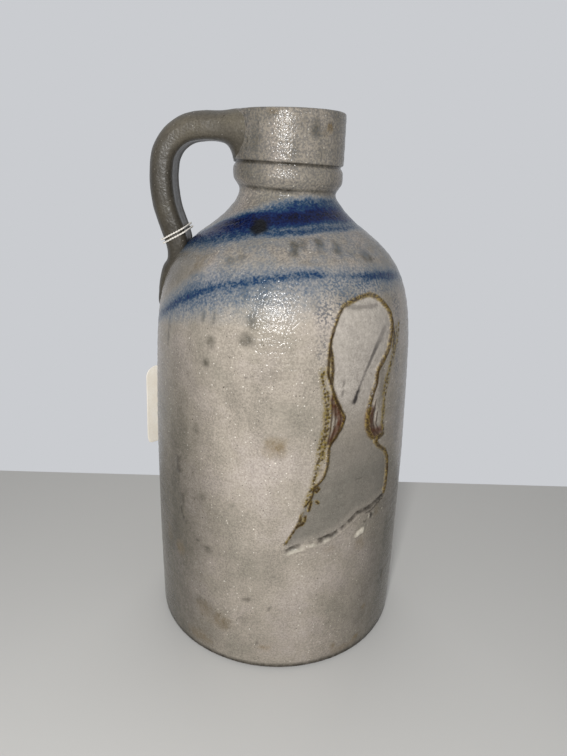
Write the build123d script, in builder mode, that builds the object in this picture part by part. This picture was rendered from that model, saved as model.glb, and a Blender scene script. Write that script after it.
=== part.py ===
from build123d import *
import os
from math import atan2, cos, degrees, radians, sin, tan

os.makedirs("parts", exist_ok=True)

# A half gallon stoneware jug: one thrown body, one strap handle, and a card tag on a string.
# Millimetres. The jug's axis is Z, its foot stands on Z = 0 and the handle points along -X.

# Thrown body, outside
jug_height = 252.0
belly_radius = 64.4
belly_height = 50.0
base_taper = 0.4
shoulder_taper = 2.5
cone_radius = 35.4
neck_radius = 22.4
ring_radius = 25.3
groove_radius = 24.1
collar_radius = 25.4

# Steps down from the rim: collar, rolled ring, throat, shoulder
collar_height = 22.3
ring_height = 11.7
ring_crest = 4.7
groove_height = 1.2
throat_height = 14.5
shoulder_rise = 55.5

# How far each curve of the shoulder follows the line it starts or ends on
cone_angle = 55.0
shoulder_pull = 34.6
cone_pull = 20.5
throat_pull = 9.7
neck_pull = 2.0
ring_end_angle = 35.0

# Thrown body, inside and edges
wall_thickness = 7.0
floor_thickness = 9.0
bore_radius = 18.5
inner_shoulder_pull = 32.0
inner_cone_pull = 19.0
rim_outer_round = 1.4
rim_inner_round = 2.0
foot_round = 1.4
floor_round = 8.0
touch = 0.01

# Strap handle
handle_reach = 62.0
handle_top_drop = 0.7
handle_bend_radius = 18.5
strap_width = 22.0
strap_thickness = 11.4
strap_inner_round = 2.2
strap_outer_round = 5.2
root_depth = 7.6
root_width = 35.0
root_thickness = 12.6
root_flare_length = 10.0
root_flare_width = 29.0
bend_width = 25.0
strap_bow = 1.8
foot_angle = 105.0
foot_along = 12.0
landing_along = 23.0
landing_angle = 93.0
landing_proud = 3.4
landing_width = 21.0
landing_thickness = 9.0
tail_end_along = 47.5
tail_end_proud = 0.9
tail_end_width = 12.0
tail_end_thickness = 5.0
tail_steps = 4

# Cotton string, wound round the handle above its foot and knotted behind
thread_diameter = 0.9
thread_clearance = 0.3
thread_pitch = 1.7
winding_up = 3.8
winding_tilt = 11.0
knot_radius = 2.0
knot_end_pull = 1.15
knot_end_pitch = 1.3

# Card tag, hung from the knot and lying back round the wall, its near edge turned away from it
tag_width = 27.8
tag_height = 47.0
tag_thickness = 0.5
tag_top_round = 6.0
tag_bottom_round = 2.8
tag_hole_diameter = 3.6
tag_hole_drop = 5.5
tag_wall_gap = 5.8
tag_back = 12.2
tag_turn = 36.4
tag_lean = 3.0
tag_hang = 77.0
thread_spread = 1.0
thread_bend = 2.0
drop_bend = 1.8

# Radii and heights of the body's stations
base_radius = belly_radius - base_taper
shoulder_radius = belly_radius - shoulder_taper
groove_z = jug_height - collar_height
neck_z = groove_z - ring_height
cone_z = neck_z - throat_height
shoulder_z = cone_z - shoulder_rise

# The straight slope between shoulder and throat, and the same slope inside the wall
cone_point = Vector(cone_radius, cone_z)
cone_way = Vector(-sin(radians(cone_angle)), cos(radians(cone_angle)))
cone_inward = Vector(-cos(radians(cone_angle)), -sin(radians(cone_angle)))
inner_cone_point = cone_point + cone_inward * wall_thickness
bore_low_z = inner_cone_point.Y + (inner_cone_point.X - bore_radius) / tan(radians(cone_angle))


def draw_outside():
    """Draw the outer outline from the foot to the rim, and return its shoulder curve."""
    wall = ThreePointArc(
        (base_radius, 0), (belly_radius, belly_height), (shoulder_radius, shoulder_z)
    )
    shoulder = Bezier(
        wall @ 1,
        wall @ 1 + wall % 1 * shoulder_pull,
        cone_point - cone_way * cone_pull,
        cone_point,
    )
    neck_point = Vector(neck_radius, neck_z)
    upward = Vector(0, 1)
    Bezier(
        cone_point,
        cone_point + cone_way * throat_pull,
        neck_point - upward * neck_pull,
        neck_point,
    )
    ring_end_way = Vector(-sin(radians(ring_end_angle)), cos(radians(ring_end_angle)))
    Spline(
        neck_point,
        (ring_radius, groove_z - ring_crest),
        (groove_radius, groove_z),
        tangents=[upward, ring_end_way],
    )
    Polyline(
        (groove_radius, groove_z),
        (collar_radius, groove_z + groove_height),
        (collar_radius, jug_height),
    )
    return shoulder


# The jug's outer shape without its hollow, which the handle is fitted against
with BuildPart() as vessel:
    with BuildSketch(Plane.XZ):
        with BuildLine():
            shoulder_curve = draw_outside()
            Polyline((collar_radius, jug_height), (0, jug_height), (0, 0), (base_radius, 0))
        make_face()
    revolve(axis=Axis.Z)

# Body: floor, wall, shoulder, neck, rolled ring and collar in one thrown piece
with BuildPart() as jug_body:
    with BuildSketch(Plane.XZ):
        with BuildLine():
            draw_outside()
            Polyline(
                (collar_radius, jug_height),
                (bore_radius, jug_height),
                (bore_radius, bore_low_z),
                inner_cone_point,
            )
            inner_wall = ThreePointArc(
                (base_radius - wall_thickness, floor_thickness),
                (belly_radius - wall_thickness, belly_height),
                (shoulder_radius - wall_thickness, shoulder_z),
            )
            Bezier(
                inner_wall @ 1,
                inner_wall @ 1 + inner_wall % 1 * inner_shoulder_pull,
                inner_cone_point - cone_way * inner_cone_pull,
                inner_cone_point,
            )
            Polyline(
                (base_radius - wall_thickness, floor_thickness),
                (0, floor_thickness),
                (0, 0),
                (base_radius, 0),
            )
        make_face()
    revolve(axis=Axis.Z)
    level_circles = jug_body.edges().filter_by(GeomType.CIRCLE).group_by(Axis.Z)
    fillet(level_circles[0], foot_round)
    floor_circles = jug_body.edges().filter_by(GeomType.CIRCLE).group_by(Axis.Z)
    floor_edges = [ring for ring in floor_circles if abs(ring[0].center().Z - floor_thickness) < touch]
    fillet(floor_edges[0], floor_round)
    rim_edges = jug_body.edges().filter_by(GeomType.CIRCLE).group_by(Axis.Z)[-1]
    fillet(rim_edges.sort_by(SortBy.RADIUS)[0], rim_inner_round)
    rim_edges = jug_body.edges().filter_by(GeomType.CIRCLE).group_by(Axis.Z)[-1]
    fillet(rim_edges.sort_by(SortBy.RADIUS)[-1], rim_outer_round)


def shoulder_station(along, proud, thickness):
    """Reach, height and downhill angle of a strap that lies on the shoulder, standing proud."""
    length = shoulder_curve.length - along
    point = shoulder_curve.position_at(length, PositionMode.LENGTH)
    way = shoulder_curve.tangent_at(length, PositionMode.LENGTH)
    outward = Vector(way.Y, -way.X)
    middle = point + outward * (proud - thickness / 2)
    return middle.X, middle.Y, degrees(atan2(way.Y, -way.X))


# The strap's middle line, from inside the collar to the tail on the shoulder
root_z = jug_height - handle_top_drop - root_thickness / 2
strap_reach = handle_reach - strap_thickness / 2
bend_x = strap_reach - handle_bend_radius
bend_z = root_z - handle_bend_radius
half_bend = handle_bend_radius * cos(radians(45))
foot_way = Vector(-cos(radians(foot_angle)), 0, -sin(radians(foot_angle)))
foot_outward = Vector(foot_way.Z, 0, -foot_way.X)
foot_inner = shoulder_curve.position_at(shoulder_curve.length - foot_along, PositionMode.LENGTH)
foot_middle = Vector(-foot_inner.X, 0, foot_inner.Y) + foot_outward * (strap_thickness / 2)
wind_middle = foot_middle - foot_way * winding_up
landing_x, landing_z, _ = shoulder_station(landing_along, landing_proud, landing_thickness)
middle_x = (strap_reach - wind_middle.X) / 2 + strap_bow
middle_z = (bend_z + wind_middle.Z) / 2
middle_angle = (90 + foot_angle) / 2

# Each section of the strap: reach, height, angle below level, width, thickness
strap_sections = [
    (collar_radius - root_depth, root_z, 0, root_width, root_thickness),
    (collar_radius - root_depth + root_flare_length, root_z, 0, root_flare_width, root_thickness),
    (bend_x, root_z, 0, bend_width, root_thickness),
    (bend_x + half_bend, bend_z + half_bend, 45, strap_width, strap_thickness),
    (strap_reach, bend_z, 90, strap_width, strap_thickness),
    (middle_x, middle_z, middle_angle, strap_width, strap_thickness),
    (-wind_middle.X, wind_middle.Z, foot_angle, strap_width, strap_thickness),
    (-foot_middle.X, foot_middle.Z, foot_angle, strap_width, strap_thickness),
    (landing_x, landing_z, landing_angle, landing_width, landing_thickness),
]

# The tail follows the shoulder down in even steps, each thinner, narrower and less proud
landing = (landing_along, landing_proud, landing_width, landing_thickness)
tail_end = (tail_end_along, tail_end_proud, tail_end_width, tail_end_thickness)
for step in range(1, tail_steps + 1):
    along, proud, width, thickness = (
        start + (end - start) * step / tail_steps for start, end in zip(landing, tail_end)
    )
    strap_sections.append((*shoulder_station(along, proud, thickness), width, thickness))

# Handle: a pulled strap, flat inside and round outside, fitted to the collar and the shoulder
with BuildPart() as handle:
    for reach, height, angle, width, thickness in strap_sections:
        down_strap = Vector(-cos(radians(angle)), 0, -sin(radians(angle)))
        slimness = thickness / strap_thickness
        with BuildSketch(Plane((-reach, 0, height), x_dir=(0, 1, 0), z_dir=down_strap)) as section:
            Rectangle(width, thickness)
            fillet(section.vertices().group_by(Axis.Y)[-1], strap_inner_round * slimness)
            fillet(section.vertices().group_by(Axis.Y)[0], strap_outer_round * slimness)
    loft()
    add(vessel.part, mode=Mode.SUBTRACT)

# The winding's own axes: inward across the strap, along Y, and up the strap
tilt = radians(foot_angle - 90 + winding_tilt)
wind_inward = Vector(cos(tilt), 0, sin(tilt))
wind_across = Vector(0, 1, 0)
wind_upward = Vector(-sin(tilt), 0, cos(tilt))
thread_radius = thread_diameter / 2
thread_offset = thread_radius + thread_clearance
half_thick = strap_thickness / 2 / cos(radians(winding_tilt)) + thread_offset
half_wide = strap_width / 2 + thread_offset
knot_middle = wind_middle - wind_inward * half_thick + wind_across * half_wide

# Two turns round the strap's four corners, from the knot and back to it
turns = 2
corners = [(-1, -1), (1, -1), (1, 1), (-1, 1)] * turns
winding_route = [
    knot_middle - wind_across * knot_end_pull - wind_upward * knot_end_pitch
]
winding_radii = []
for count, (inward, across) in enumerate(corners[:-1], start=1):
    rise = thread_pitch * (count - len(corners) / 2) / len(corners) * turns
    winding_route.append(
        wind_middle
        + wind_inward * (half_thick * inward)
        + wind_across * (half_wide * across)
        + wind_upward * rise
    )
    strap_round = strap_inner_round if inward > 0 else strap_outer_round
    winding_radii.append(strap_round + thread_offset)
winding_route.append(knot_middle + wind_inward * knot_end_pull + wind_upward * knot_end_pitch)

with BuildPart() as string_winding:
    with BuildLine():
        winding_path = FilletPolyline(*winding_route, radius=winding_radii)
    with BuildSketch(Plane(winding_path @ 0, z_dir=winding_path % 0)):
        Circle(thread_radius)
    sweep(path=winding_path)

with BuildPart() as string_knot:
    with Locations(knot_middle):
        Sphere(knot_radius)

# The tag hangs a little behind the knot, its far edge just clear of the wall
hang_angle = atan2(knot_middle.Y, -knot_middle.X)
hang_across = Vector(sin(hang_angle), cos(hang_angle), 0)
tag_angle = hang_angle + radians(tag_back)
hole_middle = Vector(-cos(tag_angle), sin(tag_angle), 0) * (belly_radius + tag_wall_gap)
hole_middle += Vector(0, 0, knot_middle.Z - tag_hang)
tag_across = hang_across.rotate(Axis.Z, -tag_turn)
tag_upward = Vector(0, 0, 1).rotate(Axis((0, 0, 0), tag_across), tag_lean)
tag_plane = Plane(hole_middle, x_dir=tag_across, z_dir=tag_across.cross(tag_upward))

with BuildPart() as hang_tag:
    with BuildSketch(tag_plane) as card:
        with Locations((0, tag_hole_drop - tag_height / 2)):
            Rectangle(tag_width, tag_height)
        fillet(card.vertices().group_by(Axis.Y)[-1], radius=tag_top_round)
        fillet(card.vertices().group_by(Axis.Y)[0], radius=tag_bottom_round)
        Circle(tag_hole_diameter / 2, mode=Mode.SUBTRACT)
    extrude(amount=tag_thickness / 2, both=True)

# The doubled string: down from the knot, through the tag's hole under its top, and up again
hang_start = knot_radius + thread_clearance
hook = hole_middle + tag_upward * (tag_hole_diameter / 2 - thread_offset)
hang_way = (hook - knot_middle).normalized()
drop_route = [
    knot_middle + hang_way * hang_start + hang_across * thread_spread,
    hook - tag_plane.z_dir * thread_bend,
    hook + tag_plane.z_dir * thread_bend,
    knot_middle + hang_way * hang_start - hang_across * thread_spread,
]
with BuildPart() as string_drop:
    with BuildLine():
        drop_path = FilletPolyline(*drop_route, radius=drop_bend)
    with BuildSketch(Plane(drop_path @ 0, z_dir=drop_path % 0)):
        Circle(thread_radius)
    sweep(path=drop_path)


def least_gap(path, samples=600, skip=4.0):
    """Least clear distance between stretches of a thread that lie apart along its length."""
    points = [path @ (i / samples) for i in range(samples + 1)]
    away = int(skip * thread_diameter / path.length * samples) + 1
    nearest = min(
        (points[j] - points[i]).length
        for i in range(samples + 1)
        for j in range(i + away, samples + 1)
    )
    return nearest - thread_diameter


for name, path, radii in (
    ("winding", winding_path, winding_radii),
    ("drop", drop_path, [drop_bend]),
):
    print(name, "length", round(path.length, 1), "bend radii", [round(r, 2) for r in radii])
    print(name, "least gap to itself", round(least_gap(path), 2))
print("bore from", round(bore_low_z, 3), "to", jug_height - rim_inner_round)
print("knot", knot_middle, "swing axis", hang_across)

pieces = {
    "jug_body": jug_body,
    "handle": handle,
    "string_winding": string_winding,
    "string_knot": string_knot,
    "string_drop": string_drop,
    "hang_tag": hang_tag,
}
for name, piece in pieces.items():
    piece.part.label = name
    export_step(piece.part, f"parts/{name}.step")
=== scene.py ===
import math

import bpy
import numpy as np
from mathutils import Matrix, Vector, noise


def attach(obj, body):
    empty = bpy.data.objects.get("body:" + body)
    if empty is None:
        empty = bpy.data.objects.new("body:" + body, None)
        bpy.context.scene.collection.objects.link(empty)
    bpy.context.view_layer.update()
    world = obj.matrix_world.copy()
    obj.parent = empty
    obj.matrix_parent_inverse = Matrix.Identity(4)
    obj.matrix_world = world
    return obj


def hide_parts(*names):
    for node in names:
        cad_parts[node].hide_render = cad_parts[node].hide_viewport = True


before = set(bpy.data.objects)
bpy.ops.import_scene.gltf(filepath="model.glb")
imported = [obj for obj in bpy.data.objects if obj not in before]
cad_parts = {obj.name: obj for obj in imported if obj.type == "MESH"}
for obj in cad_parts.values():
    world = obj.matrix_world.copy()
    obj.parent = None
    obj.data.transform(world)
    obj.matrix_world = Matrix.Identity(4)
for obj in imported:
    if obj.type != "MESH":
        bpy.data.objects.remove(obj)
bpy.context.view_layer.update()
scene = bpy.context.scene
scene.view_settings.view_transform = "Standard"
MM = 0.001

# Lengths are in millimetres: Z up the jug's middle, the handle along -X and the front along -Y. A bearing
# is degrees round the jug from the front, towards +X.


def colour(code):
    """Linear colour, with alpha 1, of an sRGB hex code."""
    parts = [int(code[i:i + 2], 16) / 255 for i in (1, 3, 5)]
    return (*(c / 12.92 if c <= 0.04045 else ((c + 0.055) / 1.055) ** 2.4 for c in parts), 1)


def per(size):
    """Texture scale whose features are this many millimetres wide."""
    return 1 / (size * MM)


# Sockets of a Mix node for colours: its share, the colours under and over, and its result
SHARE, UNDER, OVER, RESULT = 0, 6, 7, 2


def add(tree, kind, inputs=(), stops=(), **settings):
    """Add a shader node with its settings, ramp stops and inputs, and give its outputs.

    Inputs go by socket, or in the sockets' order. A hex code stands for its colour.
    """
    made = tree.nodes.new("ShaderNode" + kind)
    for name, value in settings.items():
        setattr(made, name, value)
    if stops:
        ramp = made.color_ramp
        while len(ramp.elements) < len(stops):
            ramp.elements.new(1.0)
        for element, (place, code) in zip(ramp.elements, stops):
            element.position = place
            element.color = colour(code)
    for key, value in inputs.items() if isinstance(inputs, dict) else enumerate(inputs):
        if isinstance(value, bpy.types.NodeSocket):
            tree.links.new(value, made.inputs[key])
        else:
            made.inputs[key].default_value = colour(value) if isinstance(value, str) else value
    return made.outputs


def maths(tree, operation, *values, **settings):
    """Result of a Math node."""
    return add(tree, "Math", values, operation=operation, **settings)[0]


def mixed(tree, share, under, over, blend="MIX"):
    """A colour laid over another, or multiplied with it, by a share."""
    inputs = {SHARE: share, UNDER: under, OVER: over}
    return add(tree, "Mix", inputs, data_type="RGBA", blend_type=blend)[RESULT]


def surface(tree, look):
    """Give a material its surface."""
    shader = add(tree, "BsdfPrincipled", look)["BSDF"]
    add(tree, "OutputMaterial", {"Surface": shader})


def new_material(name):
    """An empty material and its node tree."""
    made = bpy.data.materials.new(name)
    made.use_nodes = True
    made.node_tree.nodes.clear()
    return made, made.node_tree


def placed(name, data):
    """A new object in the scene."""
    made = bpy.data.objects.new(name, data)
    scene.collection.objects.link(made)
    return made


# Camera: held by hand a little below the rim and turned down to the foot, its focal length in pixels
photo_height, focal_length = 756, 580.0
eye = Vector((0.0, -280.3, 228.75)) * MM
yaw, pitch, roll = (math.radians(v) for v in (0.17, 19.94, 1.7))
forward = Vector((math.sin(yaw) * math.cos(pitch), math.cos(yaw) * math.cos(pitch), -math.sin(pitch)))
level_right = Vector((math.cos(yaw), -math.sin(yaw), 0))
level_up = level_right.cross(forward)
camera_right = level_right * math.cos(roll) + level_up * math.sin(roll)
camera_up = level_up * math.cos(roll) - level_right * math.sin(roll)
camera = placed("camera", bpy.data.cameras.new("camera"))
camera.data.sensor_width = 36.0
camera.data.lens = focal_length / photo_height * camera.data.sensor_width
camera.data.clip_start = 0.01
turn = Matrix((camera_right, camera_up, -forward)).transposed().to_4x4()
camera.matrix_world = Matrix.Translation(eye) @ turn
scene.camera = camera


def mesh_piece(name, points, faces, material, body, slot_name, node_name):
    """A smooth mesh, its points in millimetres, that rides on a body and stands for a CAD node."""
    mesh = bpy.data.meshes.new(name)
    mesh.from_pydata((np.asarray(points, float) * MM).tolist(), [], faces)
    mesh.validate()
    mesh.polygons.foreach_set("use_smooth", [True] * len(mesh.polygons))
    mesh.materials.append(material)
    piece = placed(name, mesh)
    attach(piece, body)
    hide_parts(node_name)
    return piece


def ring_faces(rings, around, looped=False, capped=False):
    """Quads between successive rings of points, which may loop or be capped at both ends."""
    faces = []
    for ring in range(rings if looped else rings - 1):
        low, high = ring * around, (ring + 1) % rings * around
        for i in range(around):
            j = (i + 1) % around
            faces.append((low + i, low + j, high + j, high + i))
    if capped:
        faces += [tuple(reversed(range(around))), tuple(range((rings - 1) * around, rings * around))]
    return faces


def walked_along(points):
    """How far along a line of points each of them lies."""
    return np.concatenate(([0], np.cumsum(np.linalg.norm(np.diff(points, axis=0), axis=1))))


def unit(vectors):
    """Rows of vectors scaled to a length of 1."""
    return vectors / np.linalg.norm(vectors, axis=1)[:, None]


def tube_points(centres, firsts, seconds, radius, sides):
    """Rings of points round a line, from two directions across it at each of its points."""
    spreads = [math.tau * k / sides for k in range(sides)]
    return [
        centre + (first * math.cos(spread) + second * math.sin(spread)) * radius
        for centre, first, second in zip(centres, firsts, seconds)
        for spread in spreads
    ]


# Cotton string, two yarns twisted together and bleached: soft, matt and off-white, with darker
# hollows between the yarns. Its fibres are about 0.02 mm, too fine to show, and are drawn 0.25 mm wide.
string_white, tree = new_material("cotton_string_twisted")
place = add(tree, "TexCoord")["Object"]
fibre = add(tree, "TexNoise", {"Vector": place, "Scale": per(0.25), "Detail": 3.0})["Fac"]
yarn_tone = add(tree, "ValToRGB", (fibre,), [(0.3, "#CFC8BC"), (0.6, "#F0ECE4")])["Color"]
fuzz = add(tree, "Bump", {"Height": fibre, "Strength": 0.5, "Distance": 0.00005})["Normal"]
yarn_look = {"Base Color": yarn_tone, "Roughness": 0.9, "Sheen Weight": 0.25, "Normal": fuzz}
surface(tree, yarn_look)

thread_diameter, twist_length = 0.9, 2.6
yarn_radius, yarn_sides, yarn_step = 0.235, 7, 0.3


def route_line(route):
    """Even points along the smooth line that has the route's points as its controls, and its length."""
    curve = bpy.data.curves.new("string_route", "CURVE")
    curve.dimensions = "3D"
    spline = curve.splines.new("NURBS")
    spline.points.add(len(route) - 1)
    for point, at in zip(spline.points, route):
        point.co = (*at, 1)
    spline.order_u = 3
    spline.use_endpoint_u = True
    spline.resolution_u = 24
    holder = bpy.data.objects.new("string_route", curve)
    line = bpy.data.meshes.new_from_object(holder)
    points = np.array([v.co[:] for v in line.vertices])
    bpy.data.objects.remove(holder)
    bpy.data.curves.remove(curve)
    bpy.data.meshes.remove(line)
    along = walked_along(points)
    wanted = np.linspace(0, along[-1], int(round(along[-1] / yarn_step)) + 1)
    return np.stack([np.interp(wanted, along, points[:, k]) for k in range(3)], axis=1), along[-1]


def twisted_yarns(points, length):
    """Two yarns twisted round a line: their points and faces."""
    ways = unit(np.gradient(points, axis=0))
    off_the_line = (0.3, 0.5, 0.8)
    side = np.cross(ways[0], off_the_line)
    sides = []
    for way in ways:
        side = side - way * np.dot(side, way)
        side = side / np.linalg.norm(side)
        sides.append(side)
    sides = np.array(sides)
    others = np.cross(ways, sides)
    turned = np.linspace(0, length / twist_length * math.tau, len(points))
    lay = thread_diameter / 2 - yarn_radius
    verts, faces = [], []
    for start in (0, math.pi):
        angle = turned + start
        out = np.cos(angle)[:, None] * sides + np.sin(angle)[:, None] * others
        first = len(verts)
        verts += tube_points(points + out * lay, out, np.cross(ways, out), yarn_radius, yarn_sides)
        skin = ring_faces(len(points), yarn_sides, capped=True)
        faces += [tuple(first + i for i in face) for face in skin]
    return verts, faces


# The winding lies tilted on the strap just above its foot. Its directions are inward, across and upward.
wind_middle = np.array((-51.364, 0.0, 198.343))
wind_ways = np.array(((0.899, 0.0, 0.438), (0.0, 1.0, 0.0), (-0.438, 0.0, 0.899)))
knot_middle = np.array((-57.257, 11.75, 195.469))
thread_pitch, turns_made, turns_below = 1.7, 2, 0.87
# One turn round the strap: inward and across from its middle, outer face first
turn_round = (
    (-6.45, 3.5), (-6.45, -3.5), (-6.45, -8.3), (-3.1, -11.6), (1.2, -11.6), (4.9, -11.6), (6.5, -9.9),
    (6.5, -4.5), (6.5, 4.5), (6.5, 9.9), (4.9, 11.6), (1.2, 11.6), (-3.1, 11.6), (-6.45, 8.3),
)
# The string starts and ends in the knot
winding_steps = [(-6.55, 10.4, -1.6)]
for step in range(turns_made * len(turn_round) - 2):
    inward, across = turn_round[step % len(turn_round)]
    winding_steps.append((inward, across, thread_pitch * (step / len(turn_round) - turns_below)))
winding_steps.append((-5.2, 11.7, 1.45))
winding_line, winding_length = route_line(wind_middle + np.array(winding_steps) @ wind_ways)
string_turns = mesh_piece(
    "string_turns", *twisted_yarns(winding_line, winding_length), string_white,
    "jug", "cotton_string", "string_winding",
)

# The doubled string from the knot through the tag's hole and back
drop_route = [
    (-57.260, 13.217, 193.231), (-64.942, 28.591, 124.859), (-65.531, 29.769, 119.622),
    (-62.858, 26.800, 119.413), (-62.487, 25.690, 124.686), (-57.662, 11.258, 193.231),
]
drop_line, drop_length = route_line(drop_route)
string_hanger = mesh_piece(
    "string_hanger", *twisted_yarns(drop_line, drop_length), string_white,
    "tag", "cotton_string", "string_drop",
)

# Knot: an overhand knot drawn tight, one loop of the same string through itself
knot_steps, knot_sides, knot_yarn, knot_spread, knot_rise = 150, 9, 0.42, 0.5, 0.62
knot_line = knot_middle + np.array([
    (
        (math.sin(t) + 2 * math.sin(2 * t)) * knot_spread,
        (math.cos(t) - 2 * math.cos(2 * t)) * knot_spread,
        -math.sin(3 * t) * knot_rise,
    )
    for t in (math.tau * step / knot_steps for step in range(knot_steps))
])
knot_ways = unit(np.roll(knot_line, -1, axis=0) - np.roll(knot_line, 1, axis=0))
knot_firsts = unit(np.cross(knot_ways, knot_line - knot_middle))
knot_points = tube_points(knot_line, knot_firsts, np.cross(knot_ways, knot_firsts), knot_yarn, knot_sides)
knot_faces = ring_faces(knot_steps, knot_sides, looped=True)
mesh_piece("string_tied_knot", knot_points, knot_faces, string_white, "jug", "cotton_string", "string_knot")

# Card tag: uncoated cream card, die-cut with round corners and a punched hole. It is matt, with faint
# fibres and broad clouds. Real fibres are under 0.1 mm, too fine to show, and are drawn 0.8 mm wide.
tag_card, tree = new_material("card_uncoated_die_cut")
place = add(tree, "TexCoord")["Object"]
fibres, clouds = (
    add(tree, "TexNoise", {"Vector": place, "Scale": per(size), "Detail": detail})["Fac"]
    for size, detail in ((0.8, 6.0), (14.0, 2.0))
)
card_mix = maths(tree, "MULTIPLY", fibres, clouds)
card_tones = [(0.12, "#F6EEDF"), (0.3, "#FDF7EB"), (0.45, "#FFFBF3")]
card_tone = add(tree, "ValToRGB", (card_mix,), card_tones)["Color"]
card_grain = add(tree, "Bump", {"Height": fibres, "Strength": 0.3, "Distance": 0.00004})["Normal"]
card_look = {"Base Color": card_tone, "Roughness": 0.82, "Normal": card_grain}
surface(tree, card_look)

tag_hole, tag_across, tag_up = np.array((
    (-64.232, 28.326, 118.469), (0.7431, 0.6692, 0.0), (0.0350, -0.0389, 0.9986)
))
tag_inward = np.cross(tag_across, tag_up)
tag_width, tag_height, tag_thickness = 27.8, 47.0, 0.5
tag_top_round, tag_bottom_round = 6.0, 2.8
hole_radius, hole_drop = 1.8, 5.5
edge_round, card_spokes, card_rings = 0.08, 160, 26
card_bow, card_wave, wave_shift, wave_size = 0.0012, 0.15, 20, 16


def card_edge(direction):
    """Distance from the hole to the card's rounded edge along a direction in its plane."""
    low, high = 0.0, tag_height
    half = np.array((tag_width, tag_height)) / 2
    middle = np.array((0, hole_drop - tag_height / 2))
    halvings = 40
    for _ in range(halvings):
        mid = (low + high) / 2
        off = direction * mid - middle
        bend = tag_top_round if off[1] > 0 else tag_bottom_round
        apart = np.abs(off) - (half - bend)
        depth = np.linalg.norm(np.maximum(apart, 0)) + min(max(apart), 0) - bend
        low, high = (mid, high) if depth < 0 else (low, mid)
    return low


# Rings of points from the hole out over the back to the edge, and in again over the front
spokes = [math.tau * k / card_spokes for k in range(card_spokes)]
ways = [np.array((math.cos(t), math.sin(t))) for t in spokes]
edges = [card_edge(way) for way in ways]
shares = [0, edge_round / 4] + list(np.linspace(0.02, 0.98, card_rings) ** 1.3) + [0.997, 1.0]
card_points = []
for face in (-1, 1):
    for share in shares[::-face]:
        sunk = edge_round if share in (0, 1) else 0
        for way, edge in zip(ways, edges):
            a, b = way * (hole_radius + (edge - hole_radius) * share)
            curl = card_bow * a * a + card_wave * math.sin((b + wave_shift) / wave_size) - card_wave
            depth = (tag_thickness / 2 - sunk) * face + curl
            card_points.append(tag_hole + tag_across * a + tag_up * b + tag_inward * depth)
card_faces = ring_faces(len(shares) * 2, card_spokes, looped=True)
mesh_piece("card_tag", card_points, card_faces, tag_card, "tag", "tag_card", "hang_tag")


def bezier(a, b, c, d, count=48):
    """Points of a cubic curve."""
    t = np.linspace(0, 1, count)[:, None]
    a, b, c, d = (np.array(p, float) for p in (a, b, c, d))
    return (1 - t) ** 3 * a + 3 * (1 - t) ** 2 * t * b + 3 * (1 - t) * t**2 * c + t**3 * d


def arc_through(a, b, c, count=60):
    """Points of the arc through three points, evenly spaced in height."""
    ends = np.array((a, b, c), float)
    middle = np.linalg.solve(2 * (ends[1:] - ends[0]), np.sum(ends[1:] ** 2 - ends[0] ** 2, axis=1))
    heights = np.linspace(a[1], c[1], count)
    reach = np.sum((ends[0] - middle) ** 2)
    return np.stack([middle[0] + np.sqrt(reach - (heights - middle[1]) ** 2), heights], axis=1)


def corner(centre, radius, start, stop, count=7):
    """Points of a round edge between two angles."""
    angles = np.radians(np.linspace(start, stop, count))
    return np.stack([centre[0] + radius * np.cos(angles), centre[1] + radius * np.sin(angles)], axis=1)


# The jug's outline, radius and height, from the foot up the outside and down the inside
jug_height = 252.0
foot_radius, belly_radius, shoulder_radius = 64.0, 64.4, 61.9
belly_height, shoulder_height = 50, 148
ring_radius, collar_radius, bore_radius = 25.3, 25.4, 18.5
edge_radius, mouth_round, floor_round = 1.4, 2.0, 8.0
foot_top, floor_level, hollow_foot = 1.5, 9.0, 0.5
cone_angle = math.radians(55)
rim_turn = jug_height - edge_radius
wall = arc_through((foot_radius, 0), (belly_radius, belly_height), (shoulder_radius, shoulder_height))
wall = wall[wall[:, 1] > foot_top]
rise = (wall[-1] - wall[-2]) / np.linalg.norm(wall[-1] - wall[-2])
slope = np.array((-math.sin(cone_angle), math.cos(cone_angle)))
cone, neck, crest = np.array((35.4, 203.5)), np.array((22.4, 218.0)), (ring_radius, 225.0)
outside = np.vstack([
    corner((foot_radius - edge_radius, edge_radius), edge_radius, -90, -4),
    wall,
    bezier(wall[-1], wall[-1] + rise * 34.6, cone - slope * 20.5, cone)[1:],
    bezier(cone, cone + slope * 9.7, neck - (0, 2.0), neck)[1:],
    bezier(neck, neck + (0, 2.2), (ring_radius, 221.6), crest)[1:],
    bezier(crest, (ring_radius, 227.6), (25.0, 229.0), (24.0, 229.8))[1:],
    [(24.05, 230.2), (25.1, 230.6), (25.35, 231.2)],
    bezier((collar_radius, 232.0), (25.45, 238), (25.45, 244), (collar_radius, rim_turn), 24),
    corner((collar_radius - edge_radius, rim_turn), edge_radius, 4, 90),
])
inside = np.vstack([
    corner((bore_radius + mouth_round, jug_height - mouth_round), mouth_round, 90, 180, 6),
    [(bore_radius, height) for height in (246, 238, 228, 218, 210)],
    [(18.7, 206.8), (22.5, 203.8), (27, 200.8), (31.4, 197.8)],
    bezier((31.4, 197.8), (46.95, 186.9), (54.1, 180.0), (54.9, shoulder_height), 12)[1:],
    [(56.6, 115), (57.3, 80), (57.35, 45), (57.1, 17)],
    corner((49.0, 17.0), floor_round, 0, -90, 5)[1:],
    [(30, floor_level), (12, floor_level)],
])
under = np.array([(18.0, hollow_foot), (38.0, hollow_foot), (56.0, 0.35), (61.0, 0.0)])
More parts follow.
